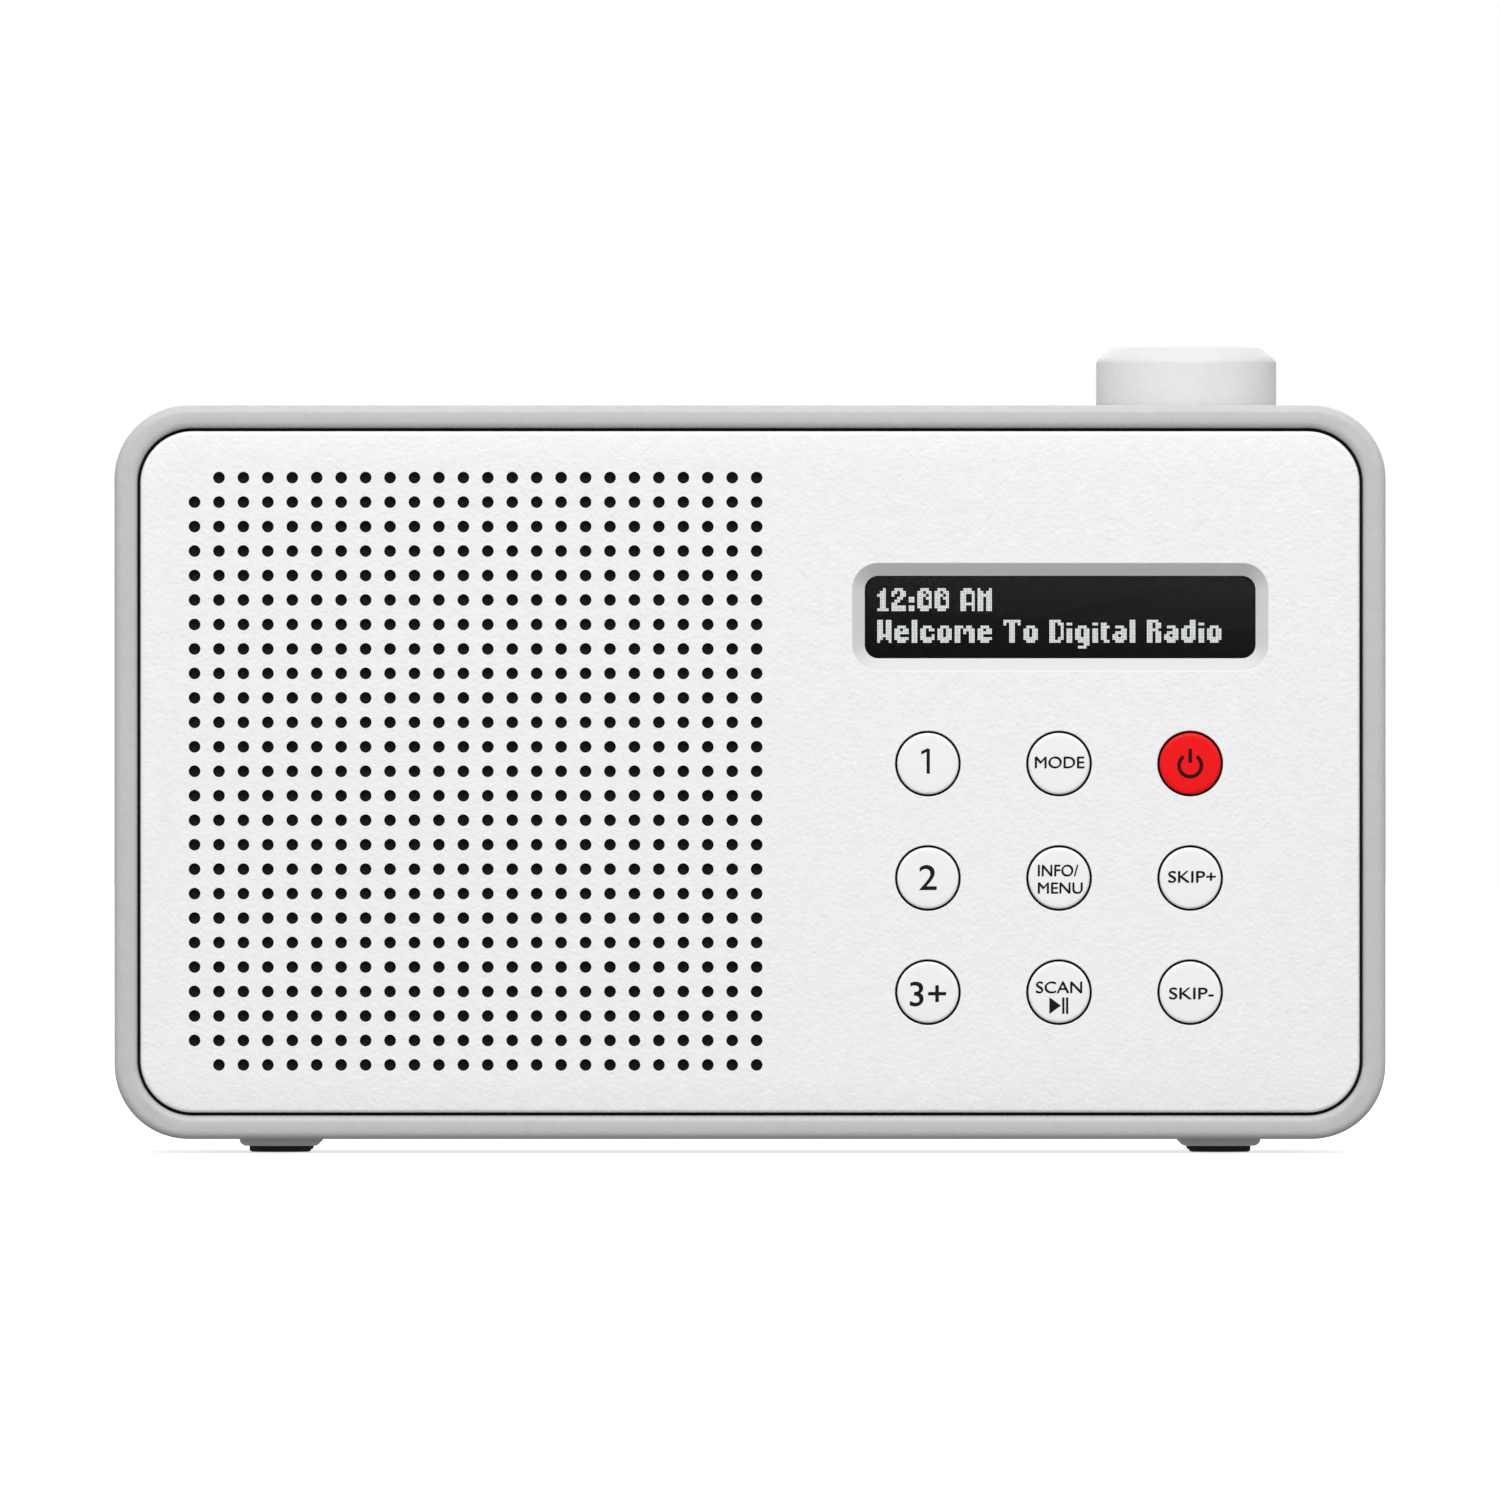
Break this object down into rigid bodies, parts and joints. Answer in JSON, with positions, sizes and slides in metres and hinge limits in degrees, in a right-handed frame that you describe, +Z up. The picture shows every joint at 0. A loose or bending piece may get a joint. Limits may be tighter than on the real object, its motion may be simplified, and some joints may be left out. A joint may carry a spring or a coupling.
{
  "type": "tabletop radio",
  "caption": "Compact tabletop digital radio with perforated loudspeaker grille, two-line display, round push buttons, a rotary knob on top and a folding telescopic antenna behind.",
  "frame": {"origin": "middle of the object's footprint, on the surface that the rubber feet stand on", "axes": "+Z up, the front panel faces -Y, +X to the right of someone facing the radio"},
  "size_m": [0.2094, 0.068, 0.133],
  "materials": {
    "cabinet_grey": "satin, fine moulded grain",
    "panel_white": "satin, very fine moulded grain",
    "button_white": "satin",
    "power_red": "semi-gloss",
    "knob_white": "satin",
    "window_smoke": "polished smoked acrylic",
    "display_glass": "glossy",
    "black_plastic": "matt",
    "rubber": "matt",
    "cloth": "woven acoustic cloth",
    "foam": "matt foam",
    "steel": "zinc plated",
    "chrome": "polished",
    "nickel": "nickel plated",
    "ferrite": "matt sintered",
    "cone_paper": "matt",
    "circuit_board": "solder mask",
    "grey_wire": "matt",
    "label": "blank silver foil"
  },
  "bodies": {
    "cabinet": {"cabinet": "cabinet_grey", "rear_cover": "cabinet_grey", "front_panel": "panel_white", "grille_cloth": "cloth", "speaker_baffle": "black_plastic", "speaker_gasket": "foam", "speaker_frame": "steel", "speaker_cone": "cone_paper", "speaker_magnet": "ferrite", "display_window": "window_smoke", "display_module": "display_glass", "display_holder": "black_plastic", "control_board": "circuit_board", "main_board": "circuit_board", "tuner_shield": "steel", "encoder_body": "steel", "encoder_nut": "nickel", "battery_tray": "black_plastic", "battery_bridge_top_left": "nickel", "battery_bridge_top_right": "nickel", "battery_bridge_bottom": "nickel", "battery_contact_plus": "nickel", "battery_contact_minus": "nickel", "power_inlet": "black_plastic", "aux_socket": "black_plastic", "speaker_lead": "grey_wire", "ribbon_cable": "grey_wire", "rating_plate": "label", "speaker_screw_1": "steel", "case_screw_1": "steel", "speaker_screw_2": "steel", "case_screw_2": "steel", "speaker_screw_3": "steel", "case_screw_3": "steel", "speaker_screw_4": "steel", "case_screw_4": "steel", "foot_front_left": "rubber", "foot_front_right": "rubber", "foot_rear_left": "rubber", "foot_rear_right": "rubber"},
    "button_one": {"button_one": "button_white"},
    "button_mode": {"button_mode": "button_white"},
    "button_power": {"button_power": "power_red"},
    "button_two": {"button_two": "button_white"},
    "button_menu": {"button_menu": "button_white"},
    "button_skip_up": {"button_skip_up": "button_white"},
    "button_three": {"button_three": "button_white"},
    "button_scan": {"button_scan": "button_white"},
    "button_skip_down": {"button_skip_down": "button_white"},
    "knob_plunger": {"encoder_plunger": "black_plastic"},
    "knob": {"encoder_shaft": "nickel", "tuning_knob": "knob_white"},
    "antenna_base": {"antenna_swivel": "chrome", "antenna_pin": "steel"},
    "antenna_mast": {"antenna_tube_1": "chrome"},
    "antenna_section_2": {"antenna_tube_2": "chrome"},
    "antenna_section_3": {"antenna_tube_3": "chrome"},
    "antenna_section_4": {"antenna_rod": "chrome"},
    "battery_door": {"battery_door": "cabinet_grey"}
  },
  "joints": [
    {"name": "button_one_press", "type": "slide", "parent": "cabinet", "child": "button_one", "axis": [0, 1, 0], "range_m": [0, 0.0005], "stiffness_N_per_m": 1500},
    {"name": "button_mode_press", "type": "slide", "parent": "cabinet", "child": "button_mode", "axis": [0, 1, 0], "range_m": [0, 0.0005], "stiffness_N_per_m": 1500},
    {"name": "button_power_press", "type": "slide", "parent": "cabinet", "child": "button_power", "axis": [0, 1, 0], "range_m": [0, 0.0005], "stiffness_N_per_m": 1500},
    {"name": "button_two_press", "type": "slide", "parent": "cabinet", "child": "button_two", "axis": [0, 1, 0], "range_m": [0, 0.0005], "stiffness_N_per_m": 1500},
    {"name": "button_menu_press", "type": "slide", "parent": "cabinet", "child": "button_menu", "axis": [0, 1, 0], "range_m": [0, 0.0005], "stiffness_N_per_m": 1500},
    {"name": "button_skip_up_press", "type": "slide", "parent": "cabinet", "child": "button_skip_up", "axis": [0, 1, 0], "range_m": [0, 0.0005], "stiffness_N_per_m": 1500},
    {"name": "button_three_press", "type": "slide", "parent": "cabinet", "child": "button_three", "axis": [0, 1, 0], "range_m": [0, 0.0005], "stiffness_N_per_m": 1500},
    {"name": "button_scan_press", "type": "slide", "parent": "cabinet", "child": "button_scan", "axis": [0, 1, 0], "range_m": [0, 0.0005], "stiffness_N_per_m": 1500},
    {"name": "button_skip_down_press", "type": "slide", "parent": "cabinet", "child": "button_skip_down", "axis": [0, 1, 0], "range_m": [0, 0.0005], "stiffness_N_per_m": 1500},
    {"name": "knob_press", "type": "slide", "parent": "cabinet", "child": "knob_plunger", "axis": [0, 0, -1], "range_m": [0, 0.0005], "stiffness_N_per_m": 2000},
    {"name": "knob_turn", "type": "hinge", "parent": "knob_plunger", "child": "knob", "pos_m": [0.0722, -0.003, 0.1231], "axis": [0, 0, 1], "continuous": true},
    {"name": "antenna_swivel", "type": "hinge", "parent": "cabinet", "child": "antenna_base", "pos_m": [0.078, 0.0275, 0.1125], "axis": [0, 1, 0], "range_deg": [0, 180]},
    {"name": "antenna_fold", "type": "hinge", "parent": "antenna_base", "child": "antenna_mast", "pos_m": [0.078, 0.0313, 0.1125], "axis": [0, 0, -1], "range_deg": [0, 90]},
    {"name": "antenna_slide_2", "type": "slide", "parent": "antenna_mast", "child": "antenna_section_2", "axis": [-1, 0, 0], "range_m": [0, 0.115]},
    {"name": "antenna_slide_3", "type": "slide", "parent": "antenna_section_2", "child": "antenna_section_3", "axis": [-1, 0, 0], "range_m": [0, 0.115]},
    {"name": "antenna_slide_4", "type": "slide", "parent": "antenna_section_3", "child": "antenna_section_4", "axis": [-1, 0, 0], "range_m": [0, 0.115]},
    {"name": "battery_door_tip", "type": "hinge", "parent": "cabinet", "child": "battery_door", "pos_m": [-0.039, 0.0275, 0.02], "axis": [-1, 0, 0], "range_deg": [0, 85]}
  ]
}
